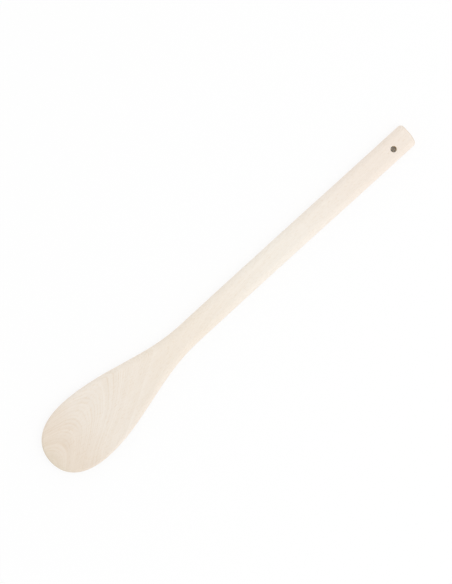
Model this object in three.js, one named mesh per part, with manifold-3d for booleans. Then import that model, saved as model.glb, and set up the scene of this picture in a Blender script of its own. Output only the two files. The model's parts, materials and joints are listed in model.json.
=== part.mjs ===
// A flat wooden spatula cut from one board: a straight handle with fully rounded edges, a neck that flares
// out into an egg-shaped paddle blade, and a hanging hole drilled near the end of the handle.
//
// Millimetres, with +X from the handle to the tip of the blade, +Y across and +Z up. The spatula lies on the
// flat back of its handle, and the origin is on that back's plane, under the middle of the overall length.

import * as THREE from 'three';
import { LoftGeometry } from 'three/addons/geometries/LoftGeometry.js';
import { mergeVertices } from 'three/addons/utils/BufferGeometryUtils.js';
import Module from 'manifold-3d';

const wasm = await Module();
wasm.setup();

// Lengths along the spatula
const OVERALL_LENGTH = 450;
const FLARE_LENGTH = 130; // from the neck, where the handle starts to widen, to the widest part of the blade
const TIP_LENGTH = 44.5; // from the widest part of the blade to its tip
const TAPER_LENGTH = 172; // the stretch up to the tip over which the board is thinned from both faces

// Widths and thicknesses
const HANDLE_WIDTH = 23;
const BLADE_WIDTH = 65.2;
const HANDLE_THICKNESS = 13;
const TIP_THICKNESS = 5;

// The end of the handle and its hanging hole
const END_ROUNDING = 3.5; // radius all round the edge of the end face
const HOLE_DIAMETER = 5.8;
const HOLE_SETBACK = 21.2; // from the end of the handle to the middle of the hole
const HOLE_OFFSET = 1.3; // of the hole from the middle line of the handle, towards +Y
const HOLE_CHAMFER = 0.4; // on both rims of the hole

// Roundness of the outline. Each is the share of a stretch over which the edge holds on to the direction that
// it has at that stretch's end, from 0 for a sharp turn to 1 for the fullest curve.
const NECK_ROUNDNESS = 0.36;
const SHOULDER_ROUNDNESS = 0.35;
const CHEEK_ROUNDNESS = 0.68;
const NOSE_ROUNDNESS = 0.59;

// Fineness of the facets
const EDGE_STEPS = 10; // round each long edge, from the back to the front
const END_STEPS = 5;
const HANDLE_STEPS = 12;
const FLARE_STEPS = 28;
const TIP_STEPS = 24;
const HOLE_STEPS = 32;

const MIDDLE_HEIGHT = HANDLE_THICKNESS / 2; // of the plane halfway between the two faces
const WIDEST_X = OVERALL_LENGTH - TIP_LENGTH;
const NECK_X = WIDEST_X - FLARE_LENGTH;
const ALONG = new THREE.Vector2(1, 0);
const ACROSS = new THREE.Vector2(0, 1);

// Half the board's thickness at a distance x from the end of the handle. It is also the radius of the rounded
// edge there, because the edge is round from one face to the other.
function halfThickness(x) {
  const thinning = THREE.MathUtils.smoothstep(x, OVERALL_LENGTH - TAPER_LENGTH, OVERALL_LENGTH);
  return THREE.MathUtils.lerp(HANDLE_THICKNESS, TIP_THICKNESS, thinning) / 2;
}

// The outline of the blade on its +Y side, from the neck to the widest part
function flareCurve() {
  return new THREE.CubicBezierCurve(
    new THREE.Vector2(NECK_X, HANDLE_WIDTH / 2),
    new THREE.Vector2(NECK_X + NECK_ROUNDNESS * FLARE_LENGTH, HANDLE_WIDTH / 2),
    new THREE.Vector2(WIDEST_X - SHOULDER_ROUNDNESS * FLARE_LENGTH, BLADE_WIDTH / 2),
    new THREE.Vector2(WIDEST_X, BLADE_WIDTH / 2),
  );
}

// The outline of the blade on its +Y side, from the widest part to the tip on the middle line
function tipCurve() {
  return new THREE.CubicBezierCurve(
    new THREE.Vector2(WIDEST_X, BLADE_WIDTH / 2),
    new THREE.Vector2(WIDEST_X + CHEEK_ROUNDNESS * TIP_LENGTH, BLADE_WIDTH / 2),
    new THREE.Vector2(OVERALL_LENGTH, NOSE_ROUNDNESS * BLADE_WIDTH / 2),
    new THREE.Vector2(OVERALL_LENGTH, 0),
  );
}

// One closed section of the board. It climbs round the edge on the +Y side, crosses the front, comes down
// round the mirrored edge and is closed across the back. The edge's roundness is set in from the outline point
// against the outline's outward direction, so it follows the outline around the tip as well.
function section(outlinePoint, outward, edgeRadius) {
  const points = [];
  for (const side of [1, -1]) {
    for (let step = 0; step <= EDGE_STEPS; step++) {
      const angle = side * (step / EDGE_STEPS - 0.5) * Math.PI;
      const inset = edgeRadius * (1 - Math.cos(angle));
      points.push(new THREE.Vector3(
        outlinePoint.x - inset * outward.x,
        side * (outlinePoint.y - inset * outward.y),
        MIDDLE_HEIGHT + edgeRadius * Math.sin(angle),
      ));
    }
  }
  return points;
}

// The end of the handle: its full section drawn in along a quarter circle towards the flat end face
function endSections() {
  const sections = [];
  for (let step = 0; step < END_STEPS; step++) {
    const angle = (step / END_STEPS) * Math.PI / 2;
    const drawnIn = END_ROUNDING * (1 - Math.sin(angle));
    const x = END_ROUNDING * (1 - Math.cos(angle));
    const edge = new THREE.Vector2(x, HANDLE_WIDTH / 2 - drawnIn);
    sections.push(section(edge, ACROSS, halfThickness(x) - drawnIn));
  }
  return sections;
}

// The straight handle, from the rounded end to just short of the neck
function handleSections() {
  const sections = [];
  for (let step = 0; step < HANDLE_STEPS; step++) {
    const x = THREE.MathUtils.lerp(END_ROUNDING, NECK_X, step / HANDLE_STEPS);
    sections.push(section(new THREE.Vector2(x, HANDLE_WIDTH / 2), ACROSS, halfThickness(x)));
  }
  return sections;
}

// The sections along one curve of the outline, from its start to just short of its end
function curveSections(curve, steps) {
  const sections = [];
  for (let step = 0; step < steps; step++) {
    const edge = curve.getPoint(step / steps);
    const along = curve.getTangent(step / steps);
    sections.push(section(edge, new THREE.Vector2(-along.y, along.x), halfThickness(edge.x)));
  }
  return sections;
}

// The last section, which closes the blade: the rounded edge on the middle line of the tip
function tipSection() {
  return section(new THREE.Vector2(OVERALL_LENGTH, 0), ALONG, halfThickness(OVERALL_LENGTH));
}

// The shape that the hole takes out of the handle: a round bar from face to face, which widens at each face
// to cut its chamfer and runs on past it
function holeCutter() {
  const radius = HOLE_DIAMETER / 2;
  const past = HOLE_CHAMFER;
  const wide = radius + HOLE_CHAMFER + past;
  const profile = [
    new THREE.Vector2(0, -past),
    new THREE.Vector2(wide, -past),
    new THREE.Vector2(radius, HOLE_CHAMFER),
    new THREE.Vector2(radius, HANDLE_THICKNESS - HOLE_CHAMFER),
    new THREE.Vector2(wide, HANDLE_THICKNESS + past),
    new THREE.Vector2(0, HANDLE_THICKNESS + past),
  ];
  const cutter = new THREE.LatheGeometry(profile, HOLE_STEPS);
  cutter.rotateX(Math.PI / 2);
  cutter.translate(HOLE_SETBACK, HOLE_OFFSET, 0);
  return cutter;
}

// A closed geometry as a solid. Triangles that are folded shut, at the tip's middle line and on a lathe's
// axis, are left out.
function solidOf(geometry) {
  const bare = new THREE.BufferGeometry();
  bare.setAttribute('position', geometry.attributes.position);
  bare.setIndex(geometry.index);
  const merged = mergeVertices(bare);
  const corners = merged.index.array;
  const triVerts = [];
  for (let i = 0; i < corners.length; i += 3) {
    const [a, b, c] = corners.slice(i, i + 3);
    if (a !== b && b !== c && c !== a) {
      triVerts.push(a, b, c);
    }
  }
  return new wasm.Manifold(new wasm.Mesh({
    numProp: 3,
    vertProperties: merged.attributes.position.array,
    triVerts: Uint32Array.from(triVerts),
  }));
}

function geometryOf(solid) {
  const { vertProperties, triVerts } = solid.getMesh();
  const geometry = new THREE.BufferGeometry();
  geometry.setAttribute('position', new THREE.BufferAttribute(vertProperties, 3));
  geometry.setIndex(new THREE.BufferAttribute(triVerts, 1));
  geometry.computeVertexNormals();
  return geometry;
}

// The board with its outline, tapered thickness and rounded edges, before the hole is drilled
function boardGeometry() {
  const sections = [
    ...endSections(),
    ...handleSections(),
    ...curveSections(flareCurve(), FLARE_STEPS),
    ...curveSections(tipCurve(), TIP_STEPS),
    tipSection(),
  ];
  return new LoftGeometry(sections, { capStart: true });
}

function spatulaBody() {
  const wood = new THREE.MeshStandardMaterial({ color: 0xefe5d8, roughness: 0.62, metalness: 0 });
  const drilled = solidOf(boardGeometry()).subtract(solidOf(holeCutter()));
  const body = new THREE.Mesh(geometryOf(drilled), wood);
  body.name = 'spatula_body';
  body.position.x = -OVERALL_LENGTH / 2;
  return body;
}

const spatula = new THREE.Group();
spatula.name = 'wooden_spatula';
spatula.add(spatulaBody());

export default spatula;
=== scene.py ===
"""Dresses the wooden spatula: one board of pale bare hardwood with rounded edges and a hanging hole.

The board is a surface worked out from a formula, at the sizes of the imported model, in metres. Its wood is
procedural, with growth rings that run through the whole board in three dimensions.
"""

import json
import logging
import math
from dataclasses import dataclass
from enum import Enum

import bpy
import numpy as np
from mathutils import Matrix, Vector
from numpy.typing import NDArray

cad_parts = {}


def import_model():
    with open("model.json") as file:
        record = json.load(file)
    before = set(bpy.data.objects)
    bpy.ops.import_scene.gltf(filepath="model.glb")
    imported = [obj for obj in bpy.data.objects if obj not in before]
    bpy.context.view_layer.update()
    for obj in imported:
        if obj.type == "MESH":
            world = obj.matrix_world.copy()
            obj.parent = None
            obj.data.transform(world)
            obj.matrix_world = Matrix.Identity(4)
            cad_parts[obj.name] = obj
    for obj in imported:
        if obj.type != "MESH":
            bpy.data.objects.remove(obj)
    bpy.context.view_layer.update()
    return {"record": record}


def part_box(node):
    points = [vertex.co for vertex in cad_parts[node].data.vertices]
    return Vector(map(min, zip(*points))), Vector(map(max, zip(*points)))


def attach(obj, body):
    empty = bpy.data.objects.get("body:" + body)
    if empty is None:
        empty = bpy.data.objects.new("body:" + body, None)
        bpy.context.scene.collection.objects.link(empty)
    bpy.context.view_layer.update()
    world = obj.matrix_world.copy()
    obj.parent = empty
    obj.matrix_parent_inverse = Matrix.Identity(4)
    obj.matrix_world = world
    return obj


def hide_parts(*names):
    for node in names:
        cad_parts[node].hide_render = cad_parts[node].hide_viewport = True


LOG = logging.getLogger("spatula")
BODY = "root"
NODE = "spatula_body"
OPENING = "hanging_hole"
FACING = "facing"
MM_PER_M = 1000.0
NOISE_MIDDLE = 0.5

Array = NDArray[np.float64]
Faces = NDArray[np.int64]
Colour = tuple[float, float, float]
PerAxis = tuple[float, float, float]
Socket = bpy.types.NodeSocket
Value = Socket | float | tuple[float, ...]


def linear(red: int, green: int, blue: int) -> Colour:
    """Turns a colour as it looks on a screen into the linear light that a shader works in.

    The screen's curve is a straight line up to its knee and an offset power above it.

    Args:
        red, green, blue: The colour's parts, from 0 to 255.

    Returns:
        The same parts on a linear scale from 0 to 1.
    """
    knee, slope, offset, power = 0.04045, 12.92, 0.055, 2.4
    parts = np.array((red, green, blue)) / 255.0
    light = np.where(parts <= knee, parts / slope, ((parts + offset) / (1.0 + offset)) ** power)
    return tuple(float(part) for part in light)


def smoothstep(low: float, high: float, value: Array) -> Array:
    """Rises from 0 at low to 1 at high along 3t^2 - 2t^3, and stays level outside.

    Args:
        low: Where the rise starts.
        high: Where it ends.
        value: The places to work it out at.

    Returns:
        The height at each place, from 0 to 1.
    """
    share = np.clip((value - low) / (high - low), 0.0, 1.0)
    return share * share * (3.0 - 2.0 * share)


def bezier(corners: Array, shares: Array) -> tuple[Array, Array]:
    """Follows a cubic Bezier curve, the sum of its four corners weighted by the Bernstein polynomials.

    Args:
        corners: The four corners, one a row.
        shares: How far along the curve each point lies, from 0 to 1.

    Returns:
        The points, and the unit direction of the curve at each of them.
    """
    t = shares[:, None]
    back = 1.0 - t
    weights = np.hstack([back**3, 3 * back**2 * t, 3 * back * t**2, t**3])
    slopes = np.hstack([back**2, 2 * back * t, t**2])
    direction = slopes @ np.diff(corners, axis=0)
    return weights @ corners, direction / np.linalg.norm(direction, axis=1, keepdims=True)


@dataclass(frozen=True)
class Stations:
    """The places along the outline at which the board has a section, from the handle's end to the tip.

    Each field has one number for every station: the outline point on the +Y side, the outline's outward
    direction there, and the radius of the rounded edge, which is half of the board's thickness.
    """

    x: Array
    y: Array
    out_x: Array
    out_y: Array
    radius: Array

    @classmethod
    def joined(cls, parts: list["Stations"]) -> "Stations":
        """Puts stretches of stations one after another."""
        names = ("x", "y", "out_x", "out_y", "radius")
        return cls(*(np.concatenate([getattr(part, name) for part in parts]) for name in names))


@dataclass(frozen=True)
class BoardShape:
    """The outline and the thickness of the board, in metres, with x counted from the handle's end.

    Each roundness is the share of a stretch over which the edge keeps the direction that it has at that
    stretch's end.
    """

    length: float
    blade_width: float
    handle_thickness: float
    handle_width: float = 0.023
    tip_thickness: float = 0.005
    flare_length: float = 0.130
    tip_length: float = 0.0445
    taper_length: float = 0.172
    end_rounding: float = 0.0035
    neck_roundness: float = 0.36
    shoulder_roundness: float = 0.35
    cheek_roundness: float = 0.68
    nose_roundness: float = 0.59
    end_face_steps: int = 8
    end_steps: int = 12
    flare_steps: int = 150
    tip_steps: int = 110

    @property
    def widest_x(self) -> float:
        """Where the blade is widest."""
        return self.length - self.tip_length

    @property
    def neck_x(self) -> float:
        """Where the handle starts to widen."""
        return self.widest_x - self.flare_length

    def half_thickness(self, x: Array) -> Array:
        """Half of the thickness: level along the handle, then easing down in one S-curve to the tip.

        Args:
            x: Distances from the end of the handle.

        Returns:
            Half of the board's thickness at each distance.
        """
        thinning = smoothstep(self.length - self.taper_length, self.length, x)
        return 0.5 * (self.handle_thickness + (self.tip_thickness - self.handle_thickness) * thinning)

    def end_stations(self) -> Stations:
        """The handle's end: the section grows over the flat end face, then out along a quarter circle.

        Returns:
            Stations from the middle line of the end face to the start of the full section.
        """
        deepest = self.handle_thickness / 2
        face = np.linspace(deepest, self.end_rounding, self.end_face_steps, endpoint=False)
        angle = np.linspace(0.0, math.pi / 2, self.end_steps, endpoint=False)
        drawn_in = np.concatenate([face, self.end_rounding * (1.0 - np.sin(angle))])
        x = np.concatenate([np.zeros_like(face), self.end_rounding * (1.0 - np.cos(angle))])
        across = np.ones_like(x)
        return Stations(x, self.handle_width / 2 - drawn_in, 0 * across, across, deepest - drawn_in)

    def handle_stations(self, x: Array) -> Stations:
        """The straight handle, with its edges parallel to the middle line.

        Args:
            x: Distances of the stations from the end of the handle.

        Returns:
            The stations there.
        """
        across = np.ones_like(x)
        return Stations(x, across * self.handle_width / 2, 0 * across, across, self.half_thickness(x))

    def curve_stations(self, corners: list[tuple[float, float]], steps: int) -> Stations:
        """A curved stretch of the outline, from its start to just short of its end.

        Args:
            corners: The four corners of the stretch's Bezier curve.
            steps: How many steps the stretch is cut into.

        Returns:
            One station for each step, facing square to the curve.
        """
        points, along = bezier(np.array(corners), np.linspace(0.0, 1.0, steps, endpoint=False))
        thickness = self.half_thickness(points[:, 0])
        return Stations(points[:, 0], points[:, 1], -along[:, 1], along[:, 0], thickness)

    def flare_stations(self) -> Stations:
        """The edge that swings out from the neck to the widest part of the blade, along one Bezier curve.

        Returns:
            Stations from the neck to just short of the widest part.
        """
        narrow, wide = self.handle_width / 2, self.blade_width / 2
        corners = [
            (self.neck_x, narrow),
            (self.neck_x + self.neck_roundness * self.flare_length, narrow),
            (self.widest_x - self.shoulder_roundness * self.flare_length, wide),
            (self.widest_x, wide),
        ]
        return self.curve_stations(corners, self.flare_steps)

    def tip_stations(self) -> Stations:
        """The edge that rounds the blade off along one Bezier curve.

        Returns:
            Stations from the widest part to the tip, of which the last is on the middle line.
        """
        wide = self.blade_width / 2
        corners = [
            (self.widest_x, wide),
            (self.widest_x + self.cheek_roundness * self.tip_length, wide),
            (self.length, self.nose_roundness * wide),
            (self.length, 0.0),
        ]
        nose = np.array([self.length])
        none, whole = np.zeros(1), np.ones(1)
        last = Stations(nose, none, whole, none, self.half_thickness(nose))
        return Stations.joined([self.curve_stations(corners, self.tip_steps), last])


@dataclass(frozen=True)
class HangingHole:
    """The drilled hole: a round bore with a softened rim on both faces, in metres.

    It is set into a patch of each face that reaches as far before it as behind it along the handle.
    """

    centre_x: float
    centre_y: float
    radius: float = 0.0029
    rim_rounding: float = 0.0004
    patch_reach: float = 0.0046
    patch_steps: int = 20
    spread_steps: int = 6
    rim_steps: int = 6
    bore_steps: int = 12
    drilled_from: float = 0.99

    def profile(self, half_thickness: float) -> tuple[Array, Array, Array]:
        """The hole's profile: a quarter circle over the rim, straight down, and the same at the back.

        Args:
            half_thickness: Half of the handle's thickness.

        Returns:
            Distances from the hole's axis, heights over the board's middle plane, and how far inside the
            bore each ring lies, from 0 on the face to 1 past the rim. They run from the front to the back.
        """
        angle = np.linspace(0.0, math.pi / 2, self.rim_steps + 1)
        away = self.radius + self.rim_rounding * (1.0 - np.sin(angle))
        height = half_thickness - self.rim_rounding * (1.0 - np.cos(angle))
        inside = np.sin(angle)
        depth = np.linspace(height[-1], -height[-1], self.bore_steps + 1)[1:-1]
        distances = np.concatenate([away, np.full_like(depth, self.radius), away[::-1]])
        heights = np.concatenate([height, depth, -height[::-1]])
        return distances, heights, np.concatenate([inside, np.ones_like(depth), inside[::-1]])


@dataclass(frozen=True)
class Sanding:
    """How far the finished board strays from the plain formula, in metres.

    It is bowed sideways a little, its faces have long shallow waves, and the handle's end is rubbed down
    on the +Y side.
    """

    bow: float = 0.00085
    steady_from: float = 0.8
    end_wear: float = 0.0014
    end_reach: float = 0.012
    seed: int = 7
    waves: int = 5
    longest: float = 0.11
    shortest: float = 0.022
    widest_heading: float = 0.6
    hollow: float = 0.00010
    sway: float = 0.00012

    def unevenness(self, x: Array, y: Array, draw: np.random.Generator) -> Array:
        """The mean of sine waves, long to short, of seeded direction and phase, set between 0 and 1.

        Args:
            x: Places along the board.
            y: Places across it.
            draw: The seeded source of the waves.

        Returns:
            The unevenness at each place.
        """
        lengths = np.geomspace(self.longest, self.shortest, self.waves)
        headings = draw.uniform(-self.widest_heading, self.widest_heading, self.waves)
        phases = draw.uniform(0.0, 2 * math.pi, self.waves)
        turns = np.outer(x, np.cos(headings) / lengths) + np.outer(y, np.sin(headings) / lengths)
        return NOISE_MIDDLE + 0.5 * np.sin(2 * math.pi * turns + phases).mean(axis=1)

    def applied(self, points: Array, middle: float) -> Array:
        """Thins the board a little towards its middle plane, bends its middle line and wears its end.

        The middle line is bowed towards -Y by the square of a half sine wave along the board, and sways a
        little about that. This fades out over the last share of the blade's half width, from steady_from
        on, so its widest part stays where it is. The wear draws the end in as an S-curve from the middle
        line to the +Y edge and fades out along the handle.

        Args:
            points: The board's points, one a row.
            middle: The height of the middle plane.

        Returns:
            The moved points.
        """
        draw = np.random.default_rng(self.seed)
        x, y, z = points.T
        half = np.abs(z - middle).max()
        thinned = 1.0 - self.hollow / half * self.unevenness(x, y, draw)
        swayed = self.sway * (self.unevenness(x, np.zeros_like(y), draw) - NOISE_MIDDLE)
        bowed = self.bow * np.sin(math.pi * (x - x.min()) / np.ptp(x)) ** 2
        free = 1.0 - smoothstep(self.steady_from, 1.0, np.abs(y) / np.abs(y).max())
        from_end = smoothstep(self.end_reach, 0.0, x - x.min())
        worn = self.end_wear * smoothstep(0.0, self.end_reach, y) * from_end
        return np.column_stack([x + worn, y + (swayed - bowed) * free, middle + (z - middle) * thinned])


def between(rows: Faces) -> Faces:
    """Joins each row of points, which closes into a ring, to the next row by quads.

    Args:
        rows: The numbers of the points, one ring a row.

    Returns:
        The quads by row and by place round the ring.
    """
    ahead = np.roll(rows, -1, axis=1)
    return np.stack([rows[:-1], ahead[:-1], ahead[1:], rows[1:]], axis=2)


def welded(points: Array, quads: Faces) -> tuple[Faces, Faces, Faces]:
    """Joins points that lie on each other and folds shut the quads that this narrows.

    Args:
        points: Points, one a row.
        quads: Faces of four corners.

    Returns:
        The whole quads, the triangles that are left of narrowed ones, and for all of them, in that order,
        which of the given quads they came from.
    """
    grid = 1e-7
    _, first, number = np.unique(np.round(points / grid), axis=0, return_index=True, return_inverse=True)
    corners = first[number.reshape(-1)][quads]
    doubled = corners == np.roll(corners, -1, axis=1)
    folds = doubled.sum(axis=1)
    whole = np.flatnonzero(folds == 0)
    narrowed = np.flatnonzero(folds == 1)
    start = np.argmax(doubled[narrowed], axis=1)
    order = (start[:, None] + np.arange(1, 4)) % 4
    triangles = np.take_along_axis(corners[narrowed], order, axis=1)
    return corners[whole], triangles, np.concatenate([whole, narrowed])


class TreeBuilder:
    """Adds nodes to one node tree and joins them, so that each step of a formula is one call."""

    def __init__(self, tree: bpy.types.NodeTree) -> None:
        """Starts on the tree of a material, a world or a node group, which it empties."""
        self.tree = tree
        self.tree.nodes.clear()

    @classmethod
    def group(cls, name: str, outputs: tuple[str, ...]) -> tuple["TreeBuilder", Socket]:
        """Starts a node group that works out numbers from a place.

        Args:
            name: The group's name.
            outputs: The names of the numbers that it gives.

        Returns:
            A builder on the group's tree, and the place.
        """
        tree = bpy.data.node_groups.new(name, "ShaderNodeTree")
        tree.interface.new_socket("Place", in_out="INPUT", socket_type="NodeSocketVector")
        for output in outputs:
            tree.interface.new_socket(output, in_out="OUTPUT", socket_type="NodeSocketFloat")
        build = cls(tree)
        return build, build.node("NodeGroupInput").outputs["Place"]

    def give(self, **values: Socket) -> bpy.types.NodeTree:
        """Ends a node group.

        Args:
            values: What goes to each of the group's outputs, by its name.

        Returns:
            The group's tree.
        """
        out = self.node("NodeGroupOutput")
        for name, value in values.items():
            self.feed(out.inputs[name], value)
        return self.tree

    def node(self, kind: str, **settings: object) -> bpy.types.Node:
        """Adds a node.

        Args:
            kind: Blender's name of the node type.
            settings: Properties to set on it.

        Returns:
            The new node.
        """
        made = self.tree.nodes.new(kind)
        for name, value in settings.items():
            setattr(made, name, value)
        return made

    def feed(self, socket: Socket, value: Value) -> None:
        """Gives an input what it works with.

        Args:
            socket: The input.
            value: An output to join it to, or a plain number or colour to set on it.
        """
        if isinstance(value, bpy.types.NodeSocket):
            self.tree.links.new(value, socket)
        else:
            socket.default_value = value

    def step(self, made: bpy.types.Node, values: tuple[Value, ...]) -> Socket:
        """Feeds a node's inputs in their order.

        Args:
            made: The node.
            values: What goes to its first inputs.

        Returns:
            The node's first output.
        """
        for socket, value in zip(made.inputs, values):
            self.feed(socket, value)
        return made.outputs[0]

    def math(self, operation: str, *values: Value) -> Socket:
        """One step of arithmetic on numbers."""
        return self.step(self.node("ShaderNodeMath", operation=operation), values)

    def vector(self, operation: str, *values: Value) -> Socket:
        """One step of arithmetic on vectors."""
        return self.step(self.node("ShaderNodeVectorMath", operation=operation), values)

    def parts(self, vector: Socket) -> tuple[Socket, Socket, Socket]:
        """The three parts of a vector."""
        first = self.step(self.node("ShaderNodeSeparateXYZ"), (vector,))
        return tuple(first.node.outputs)

    def noise(self, place: Socket, pace: PerAxis, detail: float = 0.0, roughness: float = 0.5
              ) -> bpy.types.Node:
        """Adds noise in three dimensions.

        Args:
            place: Where it is read, in millimetres.
            pace: Its features per millimetre along each axis.
            detail: How many finer layers lie over it.
            roughness: How strong each of them is beside the one before.

        Returns:
            The noise's node.
        """
        made = self.node("ShaderNodeTexNoise", noise_dimensions="3D")
        self.feed(made.inputs["Vector"], self.vector("MULTIPLY", place, pace))
        for name, number in (("Scale", 1.0), ("Detail", detail), ("Roughness", roughness)):
            made.inputs[name].default_value = number
        return made

    def ease(self, value: Socket, low: float, high: float, start: float = 0.0, end: float = 1.0) -> Socket:
        """Eases from one number to another in an S-curve.

        Args:
            value: What it follows.
            low: The value at which it leaves its start.
            high: The value at which it reaches its end.
            start: The number that it starts from.
            end: The number that it goes to.

        Returns:
            The eased number.
        """
        made = self.node("ShaderNodeMapRange", interpolation_type="SMOOTHSTEP")
        self.feed(made.inputs["Value"], value)
        for name, number in (("From Min", low), ("From Max", high), ("To Min", start), ("To Max", end)):
            made.inputs[name].default_value = number
        return made.outputs["Result"]

    def tint(self, colour: Value, factor: Value, by: Colour) -> Socket:
        """Multiplies a colour by another.

        Args:
            colour: The colour.
            factor: How far it is multiplied, from 0 for not at all to 1 for wholly.
            by: The colour that it is multiplied by.

        Returns:
            The tinted colour.
        """
        made = self.node("ShaderNodeMix", data_type="RGBA", blend_type="MULTIPLY")
        sockets = {socket.identifier: socket for socket in (*made.inputs, *made.outputs)}
        self.feed(sockets["Factor_Float"], factor)
        self.feed(sockets["A_Color"], colour)
        sockets["B_Color"].default_value = (*by, 1.0)
        return sockets["Result_Color"]

    def ramp(self, factor: Socket, stops: list[tuple[float, Colour]]) -> Socket:
        """Runs through colours that ease into one another.

        Args:
            factor: How far along the run to read it, from 0 to 1.
            stops: The colours, each after its place on the run.

        Returns:
            The colour there.
        """
        made = self.node("ShaderNodeValToRGB")
        made.color_ramp.interpolation = "EASE"
        elements = made.color_ramp.elements
        elements[0].position, elements[1].position = stops[0][0], stops[-1][0]
        for position, _ in stops[1:-1]:
            elements.new(position)
        for element, (_, colour) in zip(elements, stops):
            element.color = (*colour, 1.0)
        self.feed(made.inputs["Fac"], factor)
        return made.outputs["Color"]


@dataclass(frozen=True)
class GrowthRings:
    """The board's growth rings as level surfaces of one field, in millimetres.

    On the blade the rings are cut across and show as nested arches that open towards the tip. Along the
    handle they stretch out into long faint lines. Paces are features per millimetre, and places along the
    board count from its middle.
    """

    pitch: float = 3.6
    neck: float = 48.0
    neck_ease: float = 55.0
    handle_pace: float = 0.08
    apex_run: float = 180.0
    apex_y: float = 1.0
    apex_drift: float = 0.30
    arch_opening: float = 3.0
    arch_roundness: float = 25.0
    dive: float = 4.0
    wander_pace: PerAxis = (0.011, 0.030, 0.030)
    wander_reach: PerAxis = (11.0, 5.0, 2.0)
    wander_detail: float = 2.0
    unevenness_pace: float = 0.11
    unevenness_detail: float = 1.0
    unevenness: float = 0.9
    late_start: float = 0.15
    late_end: float = 0.75
    band_low: float = 0.25
    band_high: float = 0.75
    faintest: float = 0.35
    faint_x: float = -60.0
    clear_x: float = 170.0
    handle_strength: float = 0.35
    patch_pace: PerAxis = (0.05, 0.09, 0.09)
    patch_detail: float = 1.0
    patch_low: float = 0.38
    patch_high: float = 0.62
    patch_least: float = 0.4

    def level(self, build: TreeBuilder, place: tuple[Socket, Socket, Socket]) -> Socket:
        """Works out the field whose level surfaces part the rings.

        The level is the run along the board, eased to a slower pace along the handle, less an arch over the
        distance from the apex line, which is a hyperbola, plus the height times the dive.

        Args:
            build: The builder of the rings' node group.
            place: The three parts of the place.

        Returns:
            The level, in millimetres.
        """
        x, y, z = place
        past_neck = build.math("SUBTRACT", x, self.neck)
        rounded = build.math("MULTIPLY_ADD", past_neck, past_neck, self.neck_ease**2)
        blade_share = build.math("ADD", past_neck, build.math("SQRT", rounded))
        run = build.math("MULTIPLY", blade_share, (1.0 - self.handle_pace) / 2)
        run = build.math("MULTIPLY_ADD", x, self.handle_pace, run)
        apex_start = self.apex_y - self.apex_drift * self.apex_run
        aside = build.math("SUBTRACT", y, build.math("MULTIPLY_ADD", run, self.apex_drift, apex_start))
        bow = build.math("SQRT", build.math("MULTIPLY_ADD", aside, aside, self.arch_roundness**2))
        raised = build.math("MULTIPLY_ADD", z, self.dive, run)
        return build.math("MULTIPLY_ADD", bow, -self.arch_opening, raised)

    def strength(self, build: TreeBuilder, place: Socket, ring: Socket) -> Socket:
        """Gives every ring a strength of its own, which comes and goes along its line.

        Args:
            build: The builder of the rings' node group.
            place: The place.
            ring: The ring's number and how far through it the place lies.

        Returns:
            The ring's strength there, up to 1.
        """
        own = build.node("ShaderNodeTexWhiteNoise", noise_dimensions="1D")
        build.feed(own.inputs["W"], build.math("FLOOR", ring))
        strength = build.math("MULTIPLY_ADD", own.outputs["Value"], 1.0 - self.faintest, self.faintest)
        patches = build.noise(place, self.patch_pace, self.patch_detail).outputs[0]
        patches = build.ease(patches, self.patch_low, self.patch_high, self.patch_least, 1.0)
        return build.math("MULTIPLY", strength, patches)

    def group(self) -> bpy.types.NodeTree:
        """Builds the node group that gives how far each point lies in its ring's dark late wood.

        The place is led astray a little by noise before its level is read. Rings lie about a pitch apart in
        that level, some wider and some closer. Late wood deepens towards the end of a ring and stops short
        there. Rings and bands are fainter along the handle.

        Returns:
            A group from Place, in millimetres, to Late, and to Band, the slow rise and fall of the rings'
            width, from 0 to 1.
        """
        build, place = TreeBuilder.group("Growth rings", ("Late", "Band"))
        swing = build.noise(place, self.wander_pace, self.wander_detail).outputs["Color"]
        swing = build.vector("SUBTRACT", swing, (NOISE_MIDDLE, NOISE_MIDDLE, NOISE_MIDDLE))
        swing = build.vector("MULTIPLY", swing, self.wander_reach)
        astray = build.parts(build.vector("ADD", place, swing))
        level = self.level(build, astray)
        uneven = build.node("ShaderNodeTexNoise", noise_dimensions="1D")
        build.feed(uneven.inputs["W"], build.math("MULTIPLY", level, self.unevenness_pace))
        uneven.inputs["Scale"].default_value = 1.0
        uneven.inputs["Detail"].default_value = self.unevenness_detail
        width = uneven.outputs[0]
        shift = build.math("MULTIPLY", width, self.unevenness)
        ring = build.math("MULTIPLY_ADD", level, 1.0 / self.pitch, shift)
        phase = build.math("FRACT", ring)
        deepening = build.ease(phase, self.late_start, self.late_end)
        late = build.math("MULTIPLY", deepening, build.ease(phase, self.late_end, 1.0, 1.0, 0.0))
        clear = build.ease(astray[0], self.faint_x, self.clear_x, self.handle_strength, 1.0)
        strength = build.math("MULTIPLY", self.strength(build, place, ring), clear)
        band = build.ease(width, self.band_low, self.band_high, -NOISE_MIDDLE, NOISE_MIDDLE)
        return build.give(
            Late=build.math("MULTIPLY", late, strength),
            Band=build.math("MULTIPLY_ADD", band, clear, NOISE_MIDDLE),
        )


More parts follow.
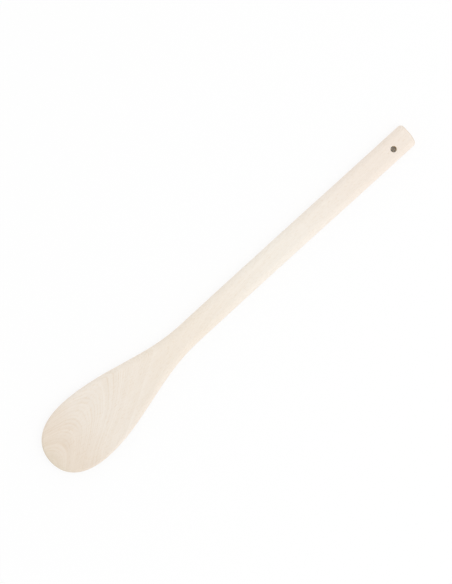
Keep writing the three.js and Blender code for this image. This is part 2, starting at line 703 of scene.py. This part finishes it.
@dataclass(frozen=True)
class Fibres:
    """The long fibres of the wood and what lies among them, with features counted per millimetre."""

    streak_pace: PerAxis = (0.009, 0.45, 0.45)
    streak_detail: float = 4.0
    streak_roughness: float = 0.6
    fibre_pace: PerAxis = (0.035, 3.2, 3.2)
    fibre_detail: float = 2.0
    fleck_pace: PerAxis = (0.28, 2.1, 2.1)
    pore_pace: PerAxis = (0.45, 5.0, 5.0)
    fleck_low: float = 0.62
    fleck_high: float = 0.72
    pore_low: float = 0.64
    pore_high: float = 0.72

    def group(self) -> bpy.types.NodeTree:
        """Builds the node group of the fibres: noises drawn out along the board.

        Returns:
            A group from Place, in millimetres, to Streak, broad tone from 0 to 1; Fibre, fine tone from 0
            to 1; Fleck, a mask of short darker dashes; and Pore, a mask of open pores.
        """
        build, place = TreeBuilder.group("Fibres", ("Streak", "Fibre", "Fleck", "Pore"))
        streak = build.noise(place, self.streak_pace, self.streak_detail, self.streak_roughness)
        fibre = build.noise(place, self.fibre_pace, self.fibre_detail)
        fleck = build.noise(place, self.fleck_pace)
        pore = build.noise(place, self.pore_pace)
        return build.give(
            Streak=streak.outputs[0],
            Fibre=fibre.outputs[0],
            Fleck=build.ease(fleck.outputs[0], self.fleck_low, self.fleck_high),
            Pore=build.ease(pore.outputs[0], self.pore_low, self.pore_high),
        )


class Cut(Enum):
    """How a surface of the wood was cut."""

    SANDED = "sanded_wood"
    DRILLED = "drilled_wood"


@dataclass(frozen=True)
class WoodFinish:
    """Bare pale hardwood: its colours along the board, the depth of its figure and its smoothness.

    The colours from end to nose lie at those shares of the board's length that the places give. A tint
    multiplies them where its feature shows. End grain is what faces along the board, from end_low on and
    wholly at end_high: it has a tint of its own, and end_figure is added to the depth of its rings.
    """

    cut: Cut
    end: Colour = linear(249, 239, 229)
    handle: Colour = linear(251, 245, 236)
    neck: Colour = linear(249, 240, 228)
    blade: Colour = linear(247, 239, 229)
    tip: Colour = linear(241, 229, 215)
    nose: Colour = linear(236, 225, 209)
    places: tuple[float, ...] = (0.08, 0.38, 0.60, 0.86, 0.965, 1.0)
    late_tint: Colour = (0.93, 0.88, 0.81)
    band_tint: Colour = (0.97, 0.96, 0.945)
    streak_tint: Colour = (0.965, 0.95, 0.93)
    fleck_tint: Colour = (0.965, 0.94, 0.905)
    end_tint: Colour = (0.915, 0.88, 0.825)
    figure: float = 0.65
    end_figure: float = 1.3
    end_low: float = 0.55
    end_high: float = 0.98
    roughness: float = 0.58
    roughness_swing: float = 0.12
    specular: float = 0.35
    bump_strength: float = 0.35
    bump_depth: float = 0.00012

    def material(self, rings: bpy.types.NodeTree, fibres: bpy.types.NodeTree, span: tuple[float, float]
                 ) -> bpy.types.Material:
        """Builds the material.

        Args:
            rings: The node group of the growth rings.
            fibres: The node group of the fibres.
            span: The board's lowest and highest x, in metres.

        Returns:
            The material, on Object coordinates and the piece's own facing attribute.
        """
        made = bpy.data.materials.new(self.cut.value)
        made.use_nodes = True
        build = TreeBuilder(made.node_tree)
        metres = build.node("ShaderNodeTexCoord").outputs["Object"]
        place = build.vector("MULTIPLY", metres, (MM_PER_M, MM_PER_M, MM_PER_M))
        ring = build.node("ShaderNodeGroup", node_tree=rings)
        grain = build.node("ShaderNodeGroup", node_tree=fibres)
        build.feed(ring.inputs["Place"], place)
        build.feed(grain.inputs["Place"], place)
        facing = build.node("ShaderNodeAttribute", attribute_name=FACING).outputs["Vector"]
        end_on = build.ease(build.parts(facing)[0], self.end_low, self.end_high)
        along = build.node("ShaderNodeMapRange")
        build.feed(along.inputs["Value"], build.parts(metres)[0])
        along.inputs["From Min"].default_value, along.inputs["From Max"].default_value = span
        tones = (self.end, self.handle, self.neck, self.blade, self.tip, self.nose)
        colour = build.ramp(along.outputs[0], list(zip(self.places, tones)))
        figure = build.math("MULTIPLY_ADD", end_on, self.end_figure, self.figure)
        features = (
            (build.math("MULTIPLY", ring.outputs["Late"], figure), self.late_tint),
            (ring.outputs["Band"], self.band_tint),
            (grain.outputs["Streak"], self.streak_tint),
            (grain.outputs["Fleck"], self.fleck_tint),
            (end_on, self.end_tint),
        )
        for shown, tint in features:
            colour = build.tint(colour, shown, tint)
        shader = build.node("ShaderNodeBsdfPrincipled")
        build.feed(shader.inputs["Base Color"], colour)
        swing = build.math("MULTIPLY_ADD", grain.outputs["Fibre"], self.roughness_swing,
                           self.roughness - self.roughness_swing / 2)
        build.feed(shader.inputs["Roughness"], swing)
        shader.inputs["Specular IOR Level"].default_value = self.specular
        bump = build.node("ShaderNodeBump")
        height = build.math("SUBTRACT", grain.outputs["Fibre"], grain.outputs["Pore"])
        build.feed(bump.inputs["Height"], height)
        bump.inputs["Strength"].default_value = self.bump_strength
        bump.inputs["Distance"].default_value = self.bump_depth
        build.feed(shader.inputs["Normal"], bump.outputs["Normal"])
        out = build.node("ShaderNodeOutputMaterial")
        build.feed(out.inputs["Surface"], shader.outputs["BSDF"])
        return made


SANDED = WoodFinish(Cut.SANDED)
DRILLED = WoodFinish(
    Cut.DRILLED,
    end=linear(251, 236, 203),
    end_tint=(0.98, 0.95, 0.90),
    roughness=0.8,
    bump_strength=0.8,
)


@dataclass(frozen=True)
class SpatulaBody:
    """The whole spatula: handle, neck and blade in one board, with the hanging hole through the handle."""

    shape: BoardShape
    hole: HangingHole
    sanding: Sanding
    start_x: float
    middle: float
    edge_steps: int = 22
    face_steps: int = 24
    handle_step: float = 0.001

    def around(self) -> tuple[Array, Array, Array]:
        """Goes once round a section: up the +Y edge, over the front, down the -Y edge, along the back.

        Returns:
            For each point the depth in from the outline, as a share of the edge's radius; the place across,
            from -1 to 1; and the height over the middle plane, as a share of the edge's radius.
        """
        angle = np.linspace(-math.pi / 2, math.pi / 2, self.edge_steps + 1)
        across = np.linspace(1.0, -1.0, self.face_steps + 1)[1:-1]
        edge, face = np.ones_like(angle), np.ones_like(across)
        depth = np.concatenate([1 - np.cos(angle), face, 1 - np.cos(angle), face])
        place = np.concatenate([edge, across, -edge, -across])
        height = np.concatenate([np.sin(angle), face, -np.sin(angle), -face])
        return depth, place, height

    def handle_places(self) -> tuple[Array, int]:
        """Cuts the handle into steps that land on both ends of the patch around the hole.

        Returns:
            The distances of the handle's stations from its end, and the number of the patch's first one.
        """
        first = self.hole.centre_x - self.hole.patch_reach
        last = self.hole.centre_x + self.hole.patch_reach
        lead = math.ceil((first - self.shape.end_rounding) / self.handle_step)
        rest = math.ceil((self.shape.neck_x - last) / self.handle_step)
        places = np.concatenate([
            np.linspace(self.shape.end_rounding, first, lead, endpoint=False),
            np.linspace(first, last, self.hole.patch_steps, endpoint=False),
            np.linspace(last, self.shape.neck_x, rest, endpoint=False),
        ])
        return places, lead

    def board(self) -> tuple[Array, int]:
        """Carries the section along the outline.

        A point is its outline point set in against the outward direction by depth times radius, mirrored
        or brought towards the middle line by its place across, and raised by height times radius.

        Returns:
            The points by station and place round the section, and the first station of the hole's patch.
        """
        places, lead = self.handle_places()
        ends = self.shape.end_stations()
        stations = Stations.joined([
            ends,
            self.shape.handle_stations(places),
            self.shape.flare_stations(),
            self.shape.tip_stations(),
        ])
        depth, place, height = self.around()
        inset = stations.radius[:, None] * depth
        x = stations.x[:, None] - stations.out_x[:, None] * inset
        y = place * (stations.y[:, None] - stations.out_y[:, None] * inset)
        z = self.middle + stations.radius[:, None] * height
        return np.stack([self.start_x + x, y, z], axis=2), len(ends.x) + lead

    def patch_border(self, first: int, around: int) -> tuple[Faces, Faces]:
        """Walks once round the border of the patch that holds the hole, counterclockwise from above.

        Args:
            first: The patch's first station.
            around: How many points a section has.

        Returns:
            The numbers of the border's points on the front and of those below them on the back.
        """
        last = first + self.hole.patch_steps
        along, across = np.arange(first, last), np.arange(self.face_steps)
        length, width = np.ones_like(along), np.ones_like(across)
        station = np.concatenate([along, last * width, along[::-1] + 1, first * width])
        column = np.concatenate([self.face_steps * length, across[::-1] + 1, 0 * length, across])
        front = station * around + self.edge_steps + column
        back = station * around + (around - column) % around
        return front, back

    def hole_rings(self, points: Array, front: Faces, back: Faces) -> tuple[Array, Faces, Array]:
        """Leads the surface from the patch's border into the hole, through it and out again at the back.

        The rings shrink evenly from the border to the rim's circle, on which each point keeps its angle
        about the hole's axis, then follow the hole's profile.

        Args:
            points: The board's points, one a row.
            front: The numbers of the border's points on the front face.
            back: The numbers of those on the back face.

        Returns:
            The rings' points, their faces, and for each face how far inside the bore it lies, up to 1.
        """
        centre = np.array([self.start_x + self.hole.centre_x, self.hole.centre_y])
        spokes = points[front, :2] - centre
        spokes /= np.linalg.norm(spokes, axis=1, keepdims=True)
        away, height, inside = self.hole.profile(self.shape.handle_thickness / 2)
        circles = centre + away[:, None, None] * spokes
        level = np.broadcast_to((self.middle + height)[:, None, None], (*circles.shape[:2], 1))
        tube = np.concatenate([circles, level], axis=2)
        shares = np.linspace(0.0, 1.0, self.hole.spread_steps + 1)[1:-1, None, None]
        lead_in = points[front] + shares * (tube[0] - points[front])
        lead_out = tube[-1] + shares * (points[back] - tube[-1])
        rings = np.concatenate([lead_in, tube, lead_out])
        number = len(points) + np.arange(rings.shape[0] * rings.shape[1]).reshape(rings.shape[:2])
        quads = between(np.vstack([front, number, back]))
        plain = np.zeros(len(lead_in) + 1)
        depth = np.concatenate([plain, inside, plain])
        halfway = 0.5 * (depth[:-1] + depth[1:])
        return rings.reshape(-1, 3), quads.reshape(-1, 4), np.repeat(halfway, rings.shape[1])

    def build(self, finishes: list[bpy.types.Material]) -> bpy.types.Object:
        """Makes the mesh of the board and its hole.

        Args:
            finishes: The materials of the sanded outside and of the drilled hole, in that order.

        Returns:
            The object, at the origin, with its materials and its facing attribute.
        """
        grid, first = self.board()
        stations, around = grid.shape[:2]
        points = grid.reshape(-1, 3)
        cells = between(np.arange(len(points)).reshape(stations, around))
        keep = np.ones(cells.shape[:2], bool)
        for face in (self.edge_steps, 2 * self.edge_steps + self.face_steps):
            keep[first:first + self.hole.patch_steps, face:face + self.face_steps] = False
        front, back = self.patch_border(first, around)
        ring_points, ring_quads, inside = self.hole_rings(points, front, back)
        quads = np.vstack([cells[keep], ring_quads])
        drilled = np.concatenate([np.zeros(keep.sum()), inside]) > self.hole.drilled_from
        points = np.vstack([points, ring_points])
        whole, narrowed, origin = welded(points, quads)
        points = self.sanding.applied(points, self.middle)
        mesh = mesh_of("spatula_sanded_board", points, whole, narrowed)
        for finish in finishes:
            mesh.materials.append(finish)
        mesh.polygons.foreach_set("material_index", drilled[origin].astype(np.int32))
        mark_facing(mesh)
        return linked(mesh)


def linked(data: bpy.types.ID) -> bpy.types.Object:
    """Puts a mesh, a lamp or a camera into the scene.

    Args:
        data: What the object shows.

    Returns:
        The object, with the same name.
    """
    made = bpy.data.objects.new(data.name, data)
    bpy.context.scene.collection.objects.link(made)
    return made


def mesh_of(name: str, points: Array, quads: Faces, triangles: Faces) -> bpy.types.Mesh:
    """Makes a smooth mesh of the points that its faces use.

    Args:
        name: The mesh's name.
        points: Points, one a row.
        quads: Faces of four corners.
        triangles: Faces of three corners, which follow the quads.

    Returns:
        The mesh.
    """
    used, corners = np.unique(np.concatenate([quads.ravel(), triangles.ravel()]), return_inverse=True)
    fours, threes = np.split(corners.ravel(), [quads.size])
    faces = fours.reshape(-1, 4).tolist() + threes.reshape(-1, 3).tolist()
    mesh = bpy.data.meshes.new(name)
    mesh.from_pydata(points[used].tolist(), [], faces)
    mesh.shade_smooth()
    return mesh


def mark_facing(mesh: bpy.types.Mesh) -> None:
    """Keeps at each point how far the surface faces along each axis: the size of its normal's parts.

    Args:
        mesh: The mesh, which gets this as an attribute.
    """
    normals = np.empty(3 * len(mesh.vertices), np.float32)
    mesh.vertices.foreach_get("normal", normals)
    facing = mesh.attributes.new(FACING, "FLOAT_VECTOR", "POINT")
    facing.data.foreach_set("vector", np.abs(normals))


@dataclass(frozen=True)
class PhotoView:
    """A camera straight above the spatula that puts its two ends on the photograph's pixels."""

    image_width: int = 452
    image_height: int = 584
    handle_end_px: tuple[float, float] = (409.15, 133.05)
    tip_px: tuple[float, float] = (50.47, 461.68)
    distance: float = 2.4
    sensor_mm: float = 36.0

    def camera(self, low: Vector, high: Vector) -> bpy.types.Object:
        """Sets up the camera.

        The picture's right and up directions in the spatula's plane follow from the direction between the
        two pixels, its scale from the distance between them, and its middle from their mean.

        Args:
            low: The spatula's lowest corner.
            high: Its highest corner.

        Returns:
            The camera, which is also made the scene's.
        """
        end, tip = Vector(self.handle_end_px), Vector(self.tip_px)
        along = (tip - end).normalized()
        pixel = (high.x - low.x) / (tip - end).length
        right = Vector((along.x, along.y, 0.0))
        up = Vector((-along.y, along.x, 0.0))
        aside = Vector((self.image_width, self.image_height)) / 2 - (end + tip) / 2
        middle = (low + high) / 2 + pixel * (right * aside.x - up * aside.y)
        back = right.cross(up)
        data = bpy.data.cameras.new("photo_view")
        data.sensor_width = self.sensor_mm
        data.lens = self.sensor_mm * self.distance / (self.image_height * pixel)
        made = linked(data)
        turn = Matrix((right, up, back)).transposed().to_4x4()
        made.matrix_world = Matrix.Translation(middle + back * self.distance) @ turn
        bpy.context.scene.camera = made
        return made


@dataclass(frozen=True)
class Studio:
    """A pale floor under a white sky that is brighter low down, with one broad soft lamp.

    The lamp hangs on the +Y side, turned by key_turn towards the handle's end.
    """

    sky_top: float = 0.665
    sky_rim: float = 1.25
    key_level: float = 0.18
    key_elevation: float = math.radians(60.0)
    key_turn: float = math.radians(28.0)
    key_distance: float = 1.6
    key_size: float = 1.0
    floor_reach: float = 6.0
    floor_grey: float = 0.88
    floor_lift: float = 0.85
    hole_lift: float = 0.08
    hole_shade: float = 1.35
    hole_fade: float = 1.70

    def seen_directly(self, build: TreeBuilder) -> Socket:
        """Tells rays that show the background: straight from the camera, mirrored or through glass.

        Args:
            build: The builder of the tree that asks.

        Returns:
            1 for such a ray and 0 for any other.
        """
        path = build.node("ShaderNodeLightPath").outputs
        seen = build.math("MAXIMUM", path["Is Camera Ray"], path["Is Glossy Ray"])
        return build.math("MAXIMUM", seen, path["Is Transmission Ray"])

    def sky(self) -> None:
        """Makes the world a sky that eases from its rim to its top, and shows as plain white.

        It lights a white surface that faces up to a level of 0.3 times the rim's and 0.7 times the top's.
        """
        world = bpy.data.worlds.new("studio_sky")
        world.use_nodes = True
        build = TreeBuilder(world.node_tree)
        shader = build.node("ShaderNodeBackground")
        height = build.parts(build.node("ShaderNodeTexCoord").outputs["Generated"])[2]
        level = build.ease(height, 0.0, 1.0, self.sky_rim, self.sky_top)
        unseen = build.math("SUBTRACT", 1.0, self.seen_directly(build))
        level = build.math("MULTIPLY_ADD", unseen, build.math("SUBTRACT", level, 1.0), 1.0)
        build.feed(shader.inputs["Strength"], level)
        shader.inputs["Color"].default_value = (1.0, 1.0, 1.0, 1.0)
        build.feed(build.node("ShaderNodeOutputWorld").inputs["Surface"], shader.outputs["Background"])
        bpy.context.scene.world = world

    def key(self) -> bpy.types.Object:
        """Hangs the lamp.

        A lamp of power P at distance d lights a white surface that faces it to a level of P / (pi d)^2.

        Returns:
            The lamp, turned to the middle of the floor.
        """
        data = bpy.data.lights.new("key_lamp", "AREA")
        data.shape = "DISK"
        data.size = self.key_size
        data.energy = self.key_level * (math.pi * self.key_distance) ** 2
        made = linked(data)
        aside = Vector((-math.sin(self.key_turn), math.cos(self.key_turn), 0.0))
        up = Vector((0.0, 0.0, 1.0))
        towards = aside * math.cos(self.key_elevation) + up * math.sin(self.key_elevation)
        made.location = towards * self.key_distance
        made.rotation_euler = towards.to_track_quat("Z", "Y").to_euler()
        made.visible_camera = False
        return made

    def floor_material(self, hole: Vector, radius: float) -> bpy.types.Material:
        """Builds the floor's finish: matt pale grey to the light, near white to the eye, but for painted
        shade in a disc under the hole.

        Args:
            hole: The place of the hanging hole.
            radius: The hole's radius. From hole_shade to hole_fade times as far from its axis the floor
                goes over from as dark as its shade makes it to near white.

        Returns:
            The material.
        """
        made = bpy.data.materials.new("studio_floor")
        made.use_nodes = True
        build = TreeBuilder(made.node_tree)
        place = build.node("ShaderNodeTexCoord").outputs["Object"]
        away = build.node("ShaderNodeVectorMath", operation="DISTANCE")
        build.feed(away.inputs[0], place)
        away.inputs[1].default_value = (hole.x, hole.y, 0.0)
        # Painted shade: a disc of the floor under the hole, placed by the hole's position, keeps only the
        # faint white lift hole_lift and shows about as dark as its shade makes it
        lift = build.ease(away.outputs["Value"], self.hole_shade * radius, self.hole_fade * radius,
                          self.hole_lift, self.floor_lift)
        seen = self.seen_directly(build)
        grey = build.math("MULTIPLY_ADD", seen, 1.0 - self.floor_grey, self.floor_grey)
        matt = build.node("ShaderNodeBsdfDiffuse")
        build.feed(matt.inputs["Color"], grey)
        white = build.node("ShaderNodeEmission")
        mixed = build.node("ShaderNodeMixShader")
        build.feed(mixed.inputs[0], build.math("MULTIPLY", seen, lift))
        build.feed(mixed.inputs[1], matt.outputs["BSDF"])
        build.feed(mixed.inputs[2], white.outputs["Emission"])
        build.feed(build.node("ShaderNodeOutputMaterial").inputs["Surface"], mixed.outputs["Shader"])
        return made

    def floor(self, material: bpy.types.Material) -> bpy.types.Object:
        """Lays the floor in the plane that the spatula lies on.

        Args:
            material: The floor's finish.

        Returns:
            The floor.
        """
        side = np.array([-1.0, 1.0]) * self.floor_reach
        x, y = np.meshgrid(side, side)
        corners = np.column_stack([x.ravel(), y.ravel(), np.zeros(4)])
        mesh = bpy.data.meshes.new("studio_floor")
        mesh.from_pydata(corners.tolist(), [], [(0, 1, 3, 2)])
        mesh.materials.append(material)
        made = linked(mesh)
        return made


def opening_centre(record: dict, name: str) -> Vector:
    """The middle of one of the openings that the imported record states."""
    box = next(each["box_m"] for each in record["physics"]["openings"] if each["name"] == name)
    return (Vector(box[0]) + Vector(box[1])) / 2


def dress_spatula(low: Vector, high: Vector, hole: HangingHole) -> bpy.types.Object:
    """Builds the spatula and its wood, and puts it in the CAD solid's place.

    Args:
        low: The CAD solid's lowest corner.
        high: Its highest corner.
        hole: The hanging hole.

    Returns:
        The finished piece.
    """
    size = high - low
    shape = BoardShape(length=size.x, blade_width=size.y, handle_thickness=size.z)
    body = SpatulaBody(shape, hole, Sanding(), start_x=low.x, middle=(low.z + high.z) / 2)
    rings, fibres = GrowthRings().group(), Fibres().group()
    span = (low.x, high.x)
    finishes = [finish.material(rings, fibres, span) for finish in (SANDED, DRILLED)]
    made = body.build(finishes)
    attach(made, BODY)
    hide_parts(NODE)
    return made


def main() -> None:
    """Builds the spatula, the studio round it and the camera, and writes how large the result is."""
    logging.basicConfig(level=logging.INFO, format="%(name)s: %(message)s")
    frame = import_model()
    low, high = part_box(NODE)
    place = opening_centre(frame["record"], OPENING)
    hole = HangingHole(centre_x=place.x - low.x, centre_y=place.y)
    spatula = dress_spatula(low, high, hole)
    LOG.info("%s: %d faces", spatula.name, len(spatula.data.polygons))
    studio = Studio()
    studio.sky()
    lamp = studio.key()
    LOG.info("%s: %.1f W", lamp.name, lamp.data.energy)
    floor = studio.floor(studio.floor_material(place, hole.radius))
    LOG.info("%s: stage", floor.name)
    camera = PhotoView().camera(low, high)
    LOG.info("%s: lens %.1f mm", camera.name, camera.data.lens)
    scene = bpy.context.scene
    scene.view_settings.view_transform = "Standard"
    # A bake then carries the colour of each edge on past it, and no dark line shows along a seam
    scene.render.bake.margin_type = "EXTEND"


if __name__ == "__main__":
    main()
